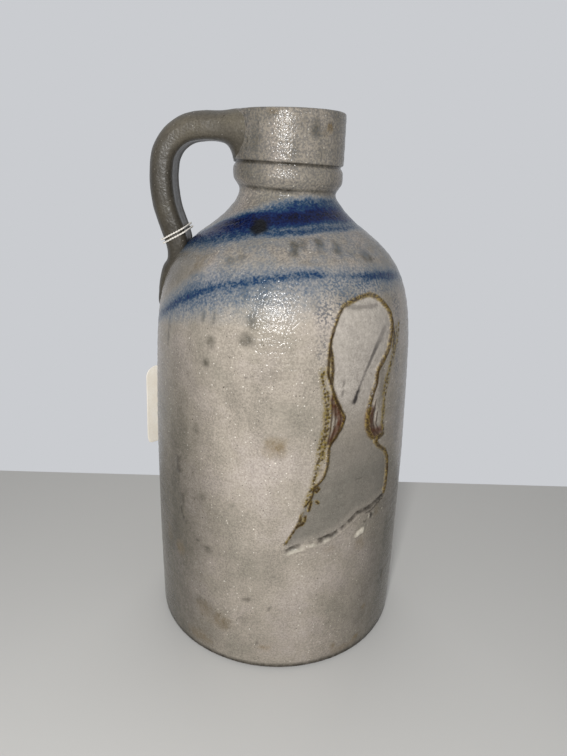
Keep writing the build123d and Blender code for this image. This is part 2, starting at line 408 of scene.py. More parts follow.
# Rows stand closest on the round edges, then on the ring and the scar, and widest on the plain wall
row_tops, row_steps = (foot_top, 62, 184, 219, 232.5, 250.4), (0.45, 1.9, 0.68, 0.95, 0.62, 1.3, 0.45)
run_up = walked_along(outside)
places = [0.0]
while places[-1] < run_up[-1]:
    height = np.interp(places[-1], run_up, outside[:, 1])
    step = row_steps[np.searchsorted(row_tops, height, side="right")]
    places.append(min(places[-1] + step, run_up[-1]))
run = np.array(places)
rows = np.stack([np.interp(run, run_up, outside[:, k]) for k in range(2)], axis=1)
# Columns stand closest over the two sides of the scar and widest at the back
bearings = np.r_[-95:11:1.25, 11:27:0.42, 27:36:0.9, 36:59:0.42, 59:95:1.25, 95:265:3.0]
# For each point of the outside: its bearing B, radius R, height Z, run up the outline S, and place X, Y
B, R, Z, S = np.broadcast_arrays((bearings + 180) % 360 - 180, rows[:, :1], rows[:, 1:], run[:, None])
shape = B.shape
X, Y = R * np.sin(np.radians(B)), -R * np.cos(np.radians(B))


def run_at(height):
    """How far up the outline a height lies."""
    return np.interp(height, rows[:, 1], run)


def soft(value, low, high):
    """Smooth step from 0 at low to 1 at high."""
    t = np.clip((value - low) / (high - low), 0, 1)
    return t * t * (3 - 2 * t)


def fade(value, low, high):
    """Smooth step from 1 at low to 0 at high."""
    return 1 - soft(value, low, high)


def lumps(size, seed):
    """Smooth noise on the outer surface, from -1 to 1, with lumps of this many millimetres."""
    spots = zip((X / size + seed).ravel(), (Y / size - seed).ravel(), (Z / size + 2 * seed).ravel())
    return np.fromiter((noise.noise(spot) for spot in spots), float, X.size).reshape(shape)


fine, rough = lumps(1.6, 5.2), lumps(3.2, 3.1)
coarse, broad = lumps(9.0, 7.7), lumps(34.0, 1.3)

# The wall is unrolled at this radius, to measure its marks in millimetres
unroll_radius = 62.5
flat = np.stack([np.radians(B) * unroll_radius, Z], axis=-1)


def on_wall(marks):
    """Bearings and heights as millimetres on the unrolled wall."""
    return [np.array((math.radians(b) * unroll_radius, z)) for b, z in marks]


def far_from(marks):
    """Distance from each outer point to a drawn line, and how far along the line its nearest place is."""
    points = on_wall(marks)
    best, along, walked = np.full(shape, np.inf), np.zeros(shape), 0.0
    for a, b in zip(points, points[1:]):
        leg = b - a
        length = np.linalg.norm(leg)
        share = np.clip(((flat - a) @ leg) / length**2, 0, 1)
        apart = np.linalg.norm(flat - (a + share[..., None] * leg), axis=-1)
        along = np.where(apart < best, walked + share * length, along)
        best = np.minimum(apart, best)
        walked += length
    return best, along


def nearest_of(lines):
    """Distance from each outer point to the nearest of a set of drawn lines."""
    return np.minimum.reduce([far_from(marks)[0] for marks in lines])


def drawn(lines, half_width, waver=0.2):
    """Strength of a set of drawn lines, 1 on them and 0 beyond their half width."""
    return fade(nearest_of(lines) + waver * rough, half_width * 0.35, half_width)


def within(marks):
    """True for outer points inside a drawn outline."""
    points = on_wall(marks)
    inside_it = np.zeros(shape, bool)
    x, y = flat[..., 0], flat[..., 1]
    for a, b in zip(points, points[1:] + points[:1]):
        spans = (a[1] > y) != (b[1] > y)
        cut = (b[0] - a[0]) * (y - a[1]) / (b[1] - a[1] + 1e-9) + a[0]
        inside_it ^= spans & (x < cut)
    return inside_it


def patches(spots):
    """Soft patches, each a bearing, a height, a half width, a half height and a strength."""
    strength = np.zeros(shape)
    for b, z, wide, tall, most in spots:
        turned = np.radians((B - b + 180) % 360 - 180) * R
        away = np.hypot(turned / wide, (S - run_at(z)) / tall) + 0.35 * rough + 0.15 * coarse
        strength = np.maximum(strength, most * fade(away, 0.3, 1.25))
    return strength


# The kiln scar, where another pot stuck in the firing: its lines, by bearing and height
left_line = [
    (39.1, 180.7), (33.7, 180.1), (29.3, 178.9), (24.8, 177.3), (22.2, 173.7), (20.3, 169.1),
    (18.9, 164.9), (18.3, 160.9), (18, 156.1), (17.8, 150.2), (19.4, 145.8), (20.8, 140.5), (22.6, 136.7),
    (24.6, 132.9), (25.6, 130.5), (25.2, 127.8), (24, 125.3), (22, 121.9), (20.4, 119.9), (19.4, 117.3),
    (19.3, 112.6), (19, 107.9), (17.7, 103.4), (15.8, 101.2), (13.8, 99.6),
]
right_line = [
    (39.1, 180.7), (43.1, 179.5), (46.5, 177.1), (49.4, 174.3), (51.4, 171.4), (52.3, 167), (51, 162.1),
    (48.6, 156), (44.6, 151.3), (41.8, 148.2), (41.4, 142.9), (39.3, 138), (37.9, 132.8), (37.1, 127.5),
    (37.4, 122.7), (39, 119.4), (40.8, 117.1),
]
right_low_line = [
    (47.1, 117.2), (43.4, 116), (42.7, 114.8), (45.1, 112), (50, 108.1), (52.5, 103.5), (53.1, 95.9),
    (52.8, 89.7), (51.4, 85),
]
low_edge = [
    (51.9, 84.5), (46.4, 83.1), (41, 81.5), (35.2, 81.6), (31.7, 79.2), (28.4, 76.7), (23.8, 74.4),
    (18.6, 72.5), (12.8, 71.5), (8, 69.9), (4.2, 68.3),
]
left_tail = [(3.1, 71.7), (5.4, 76.3), (7.6, 80.8), (8.7, 83.8), (9.4, 87.2)]
tail_bits = [
    [(13.8, 99.6), (13.5, 96.2), (12.6, 93.6), (10.5, 90.6)],
    [(10.9, 85.1), (10.7, 83.1), (9.8, 81.3), (8, 80.8)],
    [(13, 92.3), (12.7, 90.4), (12.2, 88.2)],
    [(15.1, 99.4), (16.2, 98.2), (15.2, 97), (14, 98.1), (15.1, 99.4)],
    [(15.3, 92.2), (16, 91.4)],
]
gold_lines = [
    left_line, right_line, right_low_line, left_tail, *tail_bits,
    [(18.5, 161.7), (19.4, 156.8), (19.7, 151.8), (19.6, 146.7)],
    [(51.9, 166.3), (52.9, 162.6), (51.4, 157)],
    [(40.8, 117.1), (44.3, 117.2), (47.4, 117.4)],
]
fold_lines = [
    [(20.1, 141.9), (19.7, 137.1), (19.9, 132.7), (19.5, 126.4), (18.7, 119.7)],
    [(21, 136.9), (21.5, 131.6), (21.1, 126.2), (19.6, 119.1)],
    [(22.5, 135.9), (23.8, 130.8), (23, 124.5), (20.4, 119.7)],
    [(41.4, 135.1), (40.7, 131.1), (39.6, 125.8), (41.3, 120.6), (44.3, 117.9)],
    [(40.4, 132.2), (38.5, 127.1), (39.3, 122.1), (41.7, 118)],
    [(42.6, 129), (42, 124), (43.6, 120.2)],
]
dot_lines = [
    [
        (15.5, 152.1), (15.8, 147), (16.6, 142.7), (17.3, 137.4), (17.9, 133.3), (17.6, 128.5),
        (16.7, 123.2), (15.7, 119.2), (15.4, 114.1), (15, 108.5), (14, 104.4), (13, 99), (11, 92),
    ],
    [(17.4, 143), (18.3, 137.3), (18.8, 131.9), (18.4, 126.6), (17.6, 121.7), (17.2, 116.7), (16.8, 112)],
    [
        (58, 165.9), (56.7, 160.9), (54.3, 156), (52, 151.2), (49.9, 147.1), (48.7, 141.9),
        (47.2, 135.9), (46.9, 129.4), (46.6, 122.7), (47.3, 118.1),
    ],
    [(55.4, 165), (54.7, 162.2), (53.4, 157), (51.2, 153), (50.2, 148.8), (48.3, 144.6), (46.2, 137)],
]
burn_left = [(20.4, 139.5), (22.6, 132), (24.2, 130), (22.4, 125), (20, 120.5)]
burn_right = [(38.6, 131), (38, 125.4), (40.4, 119.8), (45.4, 119.8)]
side_crack = [(51, 83), (45.6, 81), (42.6, 79.4), (39.6, 79.6)]
ink_line = [(47.1, 165.8), (44.9, 163.3), (40.4, 157.7), (35.7, 149.5), (32.5, 142.6), (30.4, 136.3)]
ink_dashes = [[(25, 146.5), (24.8, 144.3)], [(24.7, 142.3), (24.5, 140.6)]]
ink_step = [(27.5, 176.8), (31.9, 176.2), (37.2, 176), (43.3, 175.9)]

scar_outline = left_line[1:] + tail_bits[0][1:] + left_tail[::-1] + low_edge[::-1]
scar_outline += right_low_line[::-1] + right_line[::-1]
edge_far = far_from(scar_outline + scar_outline[:1])[0]
scar_in = np.where(within(scar_outline), edge_far, -edge_far) + 0.25 * rough
low_far, low_along = far_from(low_edge)
scar = soft(scar_in, -0.3, 0.8) * (0.45 + 0.55 * soft(low_far + 0.6 * rough, 0.0, 5.0))
gold_far = nearest_of(gold_lines) * np.interp(Z, (72, 99, 108), (1.25, 1.25, 1))
fold_far = nearest_of(fold_lines)

# Dots of glaze along the scar's sides, each thrown a little off its even place
dot_spacing, dot_start = 1.9, 0.4
chance = np.random.default_rng(7)
gilt = fade(nearest_of(dot_lines) + 0.5 * rough, 0.4, 2.2)
dot_far = np.full(shape, np.inf)
for marks in dot_lines:
    line = np.array(on_wall(marks))
    walked = walked_along(line)
    for at in np.arange(dot_start, walked[-1], dot_spacing):
        spot = np.array([np.interp(at + chance.uniform(-0.5, 0.5), walked, line[:, k]) for k in range(2)])
        away = flat - (spot + chance.uniform(-0.4, 0.4, 2))
        dot_far = np.minimum(dot_far, np.hypot(away[..., 0], away[..., 1]))

ridge = fade(gold_far + 0.2 * rough, 0.3, 1.2)
core = np.interp(Z, (84, 96, 172, 179), (1, 1, 1, 0.4)) * np.clip(0.85 + 0.6 * coarse, 0, 1)
burn = np.maximum(drawn([burn_left], 3.0, 0.7), drawn([burn_right], 3.3, 0.7))
lip_drop = 1.5
lip_far = far_from([(b, z - lip_drop) for b, z in low_edge])[0]
lip = fade(np.abs(lip_far + 0.5 * rough), 0.3, 1.6)
crack_wide = np.interp(low_along, (0, 12, 30, 38, 52, 58), (0.7, 1, 0.8, 1.3, 1.7, 0.5))
crack = fade(np.abs(low_far + 0.4 * rough - 0.2), 0.35 * crack_wide, crack_wide)
crack = crack * soft(0.8 * coarse + 0.5 * rough, -0.25, 0.1)
crack = np.maximum(crack, drawn([side_crack], 0.6, 0.4))
ink_far, ink_along = far_from(ink_line)
ink_wide = np.interp(ink_along, (0, 6, 11, 20, 29, 33, 34), (2.2, 2.2, 1.5, 0.9, 0.7, 1.4, 1.6))
ink = fade(ink_far + 0.2 * rough, ink_wide * 0.3, ink_wide)
ink = ink * np.interp(ink_along, (0, 6, 11, 22, 28, 31, 34), (0.35, 0.5, 0.85, 0.6, 0.75, 1.2, 1.2))
ink = np.maximum.reduce([ink, 0.5 * drawn(ink_dashes, 0.8), 0.45 * drawn([ink_step], 1.2, 0.4)])
# The scar's clay is painted paler up its height: painted light on its upper part, which faces up, and painted
# shade on its lower part, which faces the side
scar_painted_light = np.interp(Z, (80, 100, 116, 128, 140, 175), (0, 0.05, 0.25, 0.55, 0.85, 1)) + 0.12 * coarse

# Brushed cobalt: a broad stroke round the shoulder over a thin one, each with a fading wash
lean_right = soft(B, -32, 8)


def edge_run(waver, at, heights):
    """Run up the outline of a stroke's edge at each bearing, from its heights at some bearings."""
    return run_at(np.interp(B, at, heights)) + waver * (0.7 * coarse + 0.45 * rough)


def share_between(start, end):
    """How far each outer point lies from one edge of a stroke towards another."""
    gap = np.maximum(end - start, 1) if np.mean(end) > np.mean(start) else np.minimum(end - start, -1)
    return (S - start) / gap


upper_core = edge_run(
    0.6, (-125, -95, -73.5, -66, -52.9, -35.9, -12, 8, 31.8, 57.3, 75.3, 110, 150),
    (184, 192, 199, 202, 205.2, 208, 208.3, 209.1, 210.3, 209.6, 208.4, 205, 201),
)
upper_top = edge_run(
    0.8, (-125, -95, -78.8, -60.1, -48, -35.6, -6.8, 25.2, 80.6, 110, 150),
    (187, 196, 203, 208.4, 210.6, 212.2, 216.2, 217.8, 217.4, 214, 207),
)
upper_low = edge_run(
    1, (-125, -95, -78, -64.3, -46.3, -35.6, -18.5, -3.7, 9, 23.4, 63.3, 110, 150),
    (179, 186.5, 190.5, 193.8, 195.9, 198, 200.9, 201.7, 202.3, 203.2, 203.8, 201, 196),
)
up = share_between(upper_core, upper_top)
down = share_between(upper_core, upper_low)
left_up = np.interp(up, (0, 0.4, 0.75, 1.25), (1, 0.88, 0.45, 0))
right_up = np.interp(up, (0, 0.22, 0.42, 0.85, 1.15), (1, 0.95, 0.77, 0.66, 0))
left_down = np.interp(down, (0, 0.3, 0.55, 0.85, 1.2), (1, 0.9, 0.74, 0.58, 0))
right_down = np.interp(down, (0, 0.2, 0.4, 0.55, 0.74, 0.9, 1.08), (1, 0.94, 0.7, 0.56, 0.72, 0.55, 0))
upper = np.where(
    S > upper_core,
    left_up + (right_up - left_up) * lean_right,
    left_down + (right_down - left_down) * lean_right,
)
upper = upper * np.interp(
    B, (-122, -98, -78, -60, -40, 0, 8, 16, 60, 90, 120, 148),
    (0, 0.5, 0.82, 0.92, 0.93, 0.93, 1, 0.93, 0.92, 0.75, 0.4, 0),
)
lower_core = edge_run(
    0.5, (-112, -85, -64.7, -55.3, -47, -34.9, -24.6, -14.8, -5.5, 6.7, 18.7, 30, 46.9, 68.6, 110, 140),
    (146, 157, 166.7, 171.4, 176.2, 181.1, 184.1, 185.8, 187.6, 189, 189.2, 188.2, 187.3, 184.9, 181, 178),
)
reach = np.interp(B, (-90, -55, -35, -15, 10, 30, 60), (3.2, 4.6, 4.4, 3.8, 3.6, 3.6, 3.8))
lower = np.exp(-((S - lower_core) / reach) ** 2) * np.interp(
    B, (-112, -90, -70, -55, -45, -30, -25, -15, -5, 8, 15, 19, 25, 30, 40, 60, 75, 100, 125),
    (0, 0.4, 0.62, 0.7, 0.69, 0.61, 0.61, 0.67, 0.62, 0.62, 0.64, 0.52, 0.44, 0.5, 0.68, 0.74, 0.56, 0.25, 0),
)
haze_top = edge_run(
    1.5, (-112, -80, -51.4, -45, -36, -26.5, -14.7, 12, 27, 46, 75, 120),
    (152, 165, 179.5, 184.5, 188.7, 191.5, 192.5, 192.4, 192.4, 191.8, 189, 184),
)
haze_low = edge_run(
    2, (-112, -80, -60, -45, -31, -19, -9, 2, 10.5, 20, 46, 75, 120),
    (140, 156, 163, 166.5, 169.5, 171, 171.6, 172, 174.5, 178.5, 179.5, 178, 174),
)
above = share_between(lower_core, haze_top)
over = np.interp(above, (0, 0.6, 1.5), (1, 0.75, 0))
dusky = soft(B, -72, -50) * fade(B, -36, -8)
over = over + dusky * (np.interp(above, (0, 1, 1.7), (1, 0.5, 0)) - over)
beneath = np.interp(share_between(lower_core, haze_low), (0, 0.5, 1.25), (1, 0.7, 0))
haze = np.where(S > lower_core, over, beneath) * np.interp(
    B, (-110, -85, -60, -42, -25, -8, 8, 20, 30, 55, 80, 118),
    (0, 0.3, 0.6, 0.64, 0.54, 0.46, 0.44, 0.44, 0.48, 0.48, 0.3, 0),
)
between = 0.2 * soft(Z, 186, 194) * fade(Z, 206, 214) * soft(rough + 0.6 * coarse, -0.6, 0.4)
between = between * fade(np.abs(B), 85, 125)
cobalt = np.maximum.reduce([upper, lower, haze, between])
blot_bearing, blot_height, blot_wide = -19.6, 205.8, 4.9
blot_tall = np.where(S < run_at(blot_height), 7.0, 4.6)
blot = np.hypot(np.radians(B - blot_bearing) * R / blot_wide, (S - run_at(blot_height)) / blot_tall)
blot = fade(blot + 0.25 * rough, 0.55, 1.05)

# Smoke, iron spots, pooled glaze and stuck kiln sand, with painted shade in the groove, under the ring, at
# the foot and on the sides
smudge = patches([
    (-29.3, 161, 2.4, 3.6, 0.75), (-14.1, 164, 4.2, 4, 0.8), (-13.5, 28, 2.8, 2.6, 0.5),
    (-31, 152, 1.9, 2, 0.85), (-36, 121, 2.2, 3.2, 0.5), (-16.4, 182.4, 2.4, 5.5, 0.95),
    (-8.8, 181.5, 3.4, 5.5, 0.85), (-12.2, 172, 2.6, 4.5, 0.8), (20.3, 199.7, 3, 5.6, 1),
    (30.5, 198.1, 3, 5.6, 1), (4.6, 198.4, 2.6, 5, 1), (48, 195, 3.6, 5, 0.9),
    (-27.7, 192.8, 3.4, 2.4, 0.8), (-22.6, 194, 2.4, 2, 0.7), (9.5, 199.4, 2, 3.4, 0.7),
    (-46.5, 186, 3, 4.4, 0.6), (38, 196, 3, 2.4, 0.4), (12, 193, 5, 2, 0.4), (27, 181, 7, 5, 0.55),
    (26, 244, 3, 4.2, 0.9), (-34.1, 171.2, 1.2, 4.4, 0.95), (-28.6, 171.2, 1.2, 3.6, 0.85),
    (-56, 160, 1.4, 9, 0.7), (-8, 216, 3.5, 3.5, 0.3), (60, 120, 6, 14, 0.4), (44.5, 140, 2.6, 12, 0.55),
    (12, 179, 3, 4, 0.3), (-34.5, 30, 4.4, 4, 0.4), (-30.5, 28, 4.2, 4, 0.42), (-26.5, 25, 4.2, 3.6, 0.5),
    (-22.6, 22.6, 4, 3.2, 0.5), (-29.7, 62, 3.4, 2.4, 0.75), (-44, 118, 5, 22, 0.35),
    (-50, 96, 5, 26, 0.4), (57, 58, 3.5, 12, 0.7), (55.6, 34, 4, 10, 0.5), (41, 18, 5, 6, 0.3),
    (-33, 88, 2.6, 4, 0.4), (-19, 140, 3.5, 6, 0.25), (-4, 150, 6, 4, 0.25), (-17, 249, 3, 2.2, 0.5),
    (5, 236, 2.4, 4, 0.35), (-34, 240, 3, 8, 0.5), (33, 235, 2.6, 3, 0.4), (14, 246, 2.2, 2, 0.35),
    (140, 120, 9, 16, 0.5), (178, 170, 10, 10, 0.45), (-150, 70, 12, 12, 0.45), (-120, 130, 6, 20, 0.4),
    (110, 60, 8, 12, 0.4),
])
rust = patches([
    (-1.8, 118.8, 6, 5.2, 0.72), (43.2, 245.1, 2.2, 2.6, 1.2), (38.5, 242.6, 2.4, 1.6, 0.4),
    (-14, 250.2, 4.5, 1.2, 0.6), (-27, 190, 6, 6, 0.3), (-45, 190, 5, 5, 0.35), (39.3, 7.5, 2, 1.6, 1.1),
    (26.7, 8.6, 2.2, 1.6, 0.8), (33, 5, 9, 2.2, 0.5), (43.4, 24.2, 1.8, 1.6, 0.9),
    (-3.9, 13, 3.4, 1.8, 0.6), (-24, 23.5, 7, 5, 0.5), (-32, 27, 6, 6, 0.35), (-47, 54, 4, 5, 0.5),
    (-35, 8, 8, 4, 0.5), (37, 64, 5, 4, 0.35), (22, 67, 4, 2.5, 0.3), (150, 200, 6, 6, 0.4),
    (-160, 30, 10, 8, 0.4), (170, 90, 7, 7, 0.4), (-56, 56, 3, 8, 0.3), (47, 78, 3, 3, 0.35),
    (17.2, 126, 1.8, 15, 0.6), (46.4, 128, 1.6, 12, 0.5), (53, 157, 1.6, 9, 0.45), (17, 104, 1.8, 6, 0.5),
])
# Painted shade: dark lines in the groove at the collar's foot and under the ring, where shade falls. The dark
# band round the foot is partly the glaze's own olive edge and partly painted shade.
groove = fade(np.abs(Z - 230.1), 0.25, 0.8) * np.clip(0.8 + 0.6 * coarse, 0, 1)
under_ring = fade(np.abs(Z - 219.7 + 0.4 * coarse), 0.15, 1.1) * np.clip(0.75 + 0.8 * coarse, 0, 1)
foot = fade(Z + 0.5 * coarse, 1.7, np.interp(B, (-60, 0, 30, 60), (3.6, 3.8, 5, 5.2)))
sand_line = np.radians(B + 45.5 + 0.08 * (Z - 85)) * R + 1.6 * coarse
sand = fade(np.abs(sand_line), 0.6, 3.4) * soft(Z, 58, 70) * fade(Z, 104, 114)
sand = sand * soft(rough + 0.4 * fine, -0.05, 0.35)
seam_lines = [
    [(-50, 251), (-47, 246), (-42, 242), (-44, 238), (-46, 232)],
    [(-31, 248), (-29, 244), (-32, 239)],
]
seam = drawn(seam_lines, 0.8, 0.4) * (R < 26) * (rough > -0.2)
# The dark mark: real sand and seams, and painted shade in the groove, under the ring and at the foot
dark = np.maximum.reduce([groove, under_ring, foot, 0.7 * sand, 0.7 * seam])
# Smoke and painted shade on the sides: darker towards the edges, part smoke on the glaze and part painted
# shade of the light falling off round the sides, fading out round the back
left_low = np.interp(
    -B, (12, 25, 35, 42, 50, 60, 75, 110, 150), (0, 0.3, 0.58, 0.72, 0.82, 0.84, 0.8, 0.35, 0.05)
)
left_high = np.interp(-B, (22, 28, 36, 50, 58, 68, 110, 150), (0, 0.2, 0.48, 0.56, 0.5, 0.2, 0.15, 0.05))
left_high = left_high * np.interp(Z, (118, 165, 185), (1, 0.6, 0.4))
left_smoke_and_shade = left_high + (left_low - left_high) * fade(Z, 78, 120)
right_low = np.interp(
    B, (5, 15, 25, 35, 45, 55, 65, 110, 150), (0, 0.16, 0.3, 0.44, 0.62, 0.8, 0.82, 0.35, 0.05)
)
right_high = np.interp(B, (25, 40, 50, 57, 65, 110, 150), (0, 0.18, 0.44, 0.4, 0.1, 0.15, 0.05))
right_smoke_and_shade = right_high + (right_low - right_high) * fade(Z, 72, 112)
# The shade mark, partly painted shade: darker over the shoulder, neck and collar, on the sides, on the left
# and right shoulder, and towards the bottom
shade = np.maximum.reduce([
    0.4 * soft(Z, 176, 200) * fade(Z, 214, 222) + 0.28 * soft(Z, 216, 224),
    left_smoke_and_shade, right_smoke_and_shade, 0.12 * fade(Z, 30, 90),
    # Painted shadow of the handle on the collar's handle side
    0.64 * soft(-B, -6, 34) * soft(Z, 216, 226) * fade(-B, 100, 170),
    0.6 * soft(-B, 28, 46) * soft(Z, 166, 182) * fade(Z, 203, 212) * fade(-B, 85, 140),
    0.5 * soft(B, 42, 60) * soft(Z, 172, 186) * fade(Z, 200, 210) * fade(B, 85, 140),
]) + 0.12 * broad + 0.1 * coarse
shade = shade * (1 - 0.8 * scar)
bead = patches([
    (17, 176, 5.5, 8, 0.8), (22, 185, 8, 4.5, 0.9), (34, 184.5, 9, 4, 0.9), (27, 180.5, 9, 5, 1),
    (47, 184, 8, 5, 0.9), (58, 175, 4, 9, 0.7), (15, 162, 3, 10, 0.5), (56, 150, 3, 10, 0.5),
    (-40, 176, 14, 6, 0.35), (-20, 180, 12, 6, 0.35), (5, 186, 12, 5, 0.45),
])
bead = np.maximum(bead, 0.36 * soft(Z, 185, 197))

# Chips below the scar, and nicks of a bearing, a height, a half width and a half height
chip_bearing, chip_height, chip_slant = 36.6, 70.3, 0.12
chip_x = np.radians(B - chip_bearing) * R / 2.9
chip_y = (Z - chip_height) / 1.8 - chip_slant * (B - chip_bearing)
chip = fade((chip_x**4 + chip_y**4) ** 0.25 + 0.35 * rough, 0.75, 1.0)
rubble = patches([(42.7, 77.4, 2.6, 1.8, 1), (51.5, 77.3, 1, 1, 1), (39, 75.4, 1.6, 1.2, 0.7)])
moat = patches([(36.9, 69.6, 4.2, 3.2, 1)]) * (1 - chip)
low_lip = lip * soft(low_along, 30, 40) * soft(rough, -0.4, 0.2)
pale = np.maximum.reduce([chip, 0.75 * low_lip, rubble * soft(fine, 0.0, 0.3)])
nick_places = (
    (15, 107.7, 3.6, 0.5), (-12.3, 40, 3.6, 0.5), (36, 98.5, 5, 0.4), (-38, 86, 1.2, 0.8),
    (-13.9, 148.2, 1, 0.7), (-11.5, 149.2, 0.8, 0.6), (-12.6, 148.6, 1.6, 0.3), (-7.8, 14.8, 1.3, 1.3),
    (-2.2, 36.5, 1.2, 1.2), (-35.6, 64.5, 1.6, 0.8), (56.5, 35, 1.2, 3.4),
)
nick_slant = 0.04
nicks = np.zeros(shape)
for b, z, wide, tall in nick_places:
    away = np.hypot(np.radians(B - b) * R / wide, (Z - z + nick_slant * (B - b)) / tall)
    nicks = np.maximum(nicks, fade(away, 0.3, 1.0))
cracked = np.maximum.reduce([crack, 0.7 * nicks, rubble * soft(-fine, 0.0, 0.3)])

# Relief, in millimetres outward: thrown wobble and finger rings, the sunk scar with its lips. The skin
# starts inside the solid's outline, and nothing stands out of it.
skin_depth, wobble, finger_spacing = 0.3, 0.22, 5.2
spiral = Z + (B % 360) / 360 * finger_spacing
finger_rings = 0.05 * np.sin(spiral / finger_spacing * math.tau + 2.0 * broad)
finger_rings = finger_rings + 0.035 * np.sin(spiral / (finger_spacing / 2) * math.tau + 3.0 * coarse)
relief = -skin_depth + wobble * broad + finger_rings * soft(Z, 6, 20) + 0.05 * coarse + 0.03 * rough
relief += -0.8 * scar + 0.6 * ridge + 0.3 * burn
relief += 0.35 * fade(fold_far, 0.1, 0.8) + 0.3 * fade(dot_far, 0.2, 0.8)
relief += 0.4 * lip * (0.7 + 0.5 * rough) - 0.6 * crack + 0.3 * sand
relief += 0.3 * chip - 0.5 * moat + 0.45 * rubble * (0.5 + rough)
relief -= 0.3 * nicks
relief = np.minimum(relief, 0.0)

# The ring below the collar sits a little aslant
ring_slant = 0.9
aslant = ring_slant * np.sin(np.radians(B)) * soft(Z, 213, 220) * fade(Z, 232, 244)
way = unit(np.gradient(rows, axis=0))
out_r = R + way[:, 1:] * relief
out_z = np.clip(Z - way[:, :1] * relief - aslant, 0.0, jug_height)
turns = np.radians(bearings)
columns = len(turns)


def lathe(radius, height):
    """Rings of points round the axis, from a radius and a height for each row or each point."""
    return np.stack(
        [radius * np.sin(turns), -radius * np.cos(turns), height + 0 * turns], axis=-1
    ).reshape(-1, 3)


jug_points = np.vstack([
    lathe(under[:, :1], under[:, 1:]),
    lathe(out_r, out_z),
    lathe(inside[:, :1], inside[:, 1:]),
    [(0, 0, hollow_foot), (0, 0, floor_level)],
])
jug_rings = len(under) + len(rows) + len(inside)
jug_faces = ring_faces(jug_rings, columns)
under_pole, floor_pole = jug_rings * columns, jug_rings * columns + 1
last_ring = (jug_rings - 1) * columns
for i in range(columns):
    j = (i + 1) % columns
    jug_faces += [(under_pole, j, i), (last_ring + i, last_ring + j, floor_pole)]
# Strengths of the painted marks, and distances in millimetres from the scar's lines
painted_marks = dict(
    cobalt=cobalt, blot=blot, smudge=smudge, rust=rust, dark=dark, shade=shade, bead=bead, scar=scar,
    scar_painted_light=scar_painted_light, ink=ink * scar, pale=pale, burn=burn, crack=cracked, core=core, gilt=gilt,
    gold_far=gold_far, dot_far=dot_far, fold_far=fold_far,
)


def kiln_marks_and_shade(tree, tone, gloss, peel, drift):
    """The jug's own marks and painted shade laid over its glaze: its tone, roughness and height of skin with
    them.
    """
    mark = {name: add(tree, "Attribute", attribute_name=name)["Fac"] for name in painted_marks}
    # The brush spreads cobalt unevenly and the peel's hollows hold more of it. The scar's clay is clouded
    # and calmer than the glaze, and its lines waver.
    spread, mottle, some, clouded, calm, waver = (
        add(tree, "MapRange", row)[0]
        for row in (
            (drift, 0.3, 0.7, -0.1, 0.1), (peel, 0.38, 0.62, 0.06, -0.06), (mark["cobalt"], 0.02, 0.3),
            (drift, 0.35, 0.65, 0.8, 1.1), (mark["scar"], 0, 1, 1, 0.7), (drift, 0.3, 0.7, -0.25, 0.25),
        )
    )
    uneven = maths(tree, "ADD", spread, mottle)
    paint = maths(tree, "MULTIPLY_ADD", uneven, some, mark["cobalt"])
    mark["paint"] = add(tree, "MapRange", (paint, 0.02, 0.66))[0]
    blues = [
        (0.0, "#83878B"), (0.28, "#64717E"), (0.48, "#44586D"), (0.64, "#1D3A55"), (0.78, "#021D4A"),
        (0.9, "#010D38"), (1.0, "#000318"),
    ]
    # Scar clay tones along its painted light, from shaded below to lit above
    clays = [(0.0, "#6E6A62"), (0.45, "#867F75"), (0.85, "#A39C94"), (1.0, "#ABA49B")]
    golds = [(0.38, "#3A2B0E"), (0.5, "#67531C"), (0.62, "#968038")]
    blue, clay, gold = (
        add(tree, "ValToRGB", (along,), tones)["Color"]
        for along, tones in ((paint, blues), (mark["scar_painted_light"], clays), (peel, golds))
    )
    clay = mixed(tree, 1, clay, clouded, "MULTIPLY")
    # Lines of the scar, from wide to thin in millimetres
    for line, far, wide, thin in (
        ("gold_edge", "gold_far", 1.45, 0.5), ("gold_heart", "gold_far", 0.9, 0.35),
        ("dot_edge", "dot_far", 0.8, 0.35), ("fold_edge", "fold_far", 0.7, 0.15),
    ):
        mark[line] = add(tree, "MapRange", (maths(tree, "ADD", mark[far], waver), wide, thin))[0]
    mark["heart"] = maths(tree, "MULTIPLY", mark["gold_heart"], mark["core"])
    # Each layer covers by its mark's strength times a pattern that goes from its least to its most. Beads
    # fill the peel's pits, gilt lies on its tops, and the rest drift.
    drifting, on_peel = (drift, 0.3, 0.65), {"bead": (peel, 0.56, 0.42), "gilt": (peel, 0.4, 0.6)}
    for name, over, least, most in (
        # Painted shade, partly smoke
        ("shade", "#3C392F", 0.78, 1.0),
        ("smudge", "#47443B", 0.55, 1.0),
        ("rust", "#6E5B38", 0.35, 0.95),
        ("bead", "#474D55", 0.05, 0.9),
        ("paint", blue, 1.0, 1.0),
        ("blot", "#06080C", 0.94, 1.0),
        # Seams and sand, with painted shade in the groove, under the ring and at the foot
        ("dark", "#2E2A22", 0.65, 0.98),
        # Scar clay, with its painted light up its height
        ("scar", clay, 0.8, 0.95),
        ("ink", "#35312F", 0.8, 1.0),
        ("burn", "#4A2814", 0.6, 1.0),
        ("gilt", "#75652F", 0.15, 0.95),
        ("gold_edge", gold, 0.55, 1.0),
        ("fold_edge", "#33200F", 0.6, 1.0),
        ("dot_edge", "#33240E", 0.7, 1.0),
        ("heart", "#33240E", 0.8, 1.0),
        ("crack", "#2C2721", 0.55, 0.95),
        ("pale", "#C6BFB0", 0.6, 1.0),
    ):
        amount = add(tree, "MapRange", (*on_peel.get(name, drifting), least, most))[0]
        share = maths(tree, "MULTIPLY", mark[name], amount, use_clamp=True)
        tone = mixed(tree, share, tone, over)
    # The scar is duller than the glaze
    gloss = maths(tree, "MULTIPLY_ADD", mark["scar"], 0.12, gloss)
    return tone, gloss, maths(tree, "MULTIPLY", peel, calm)


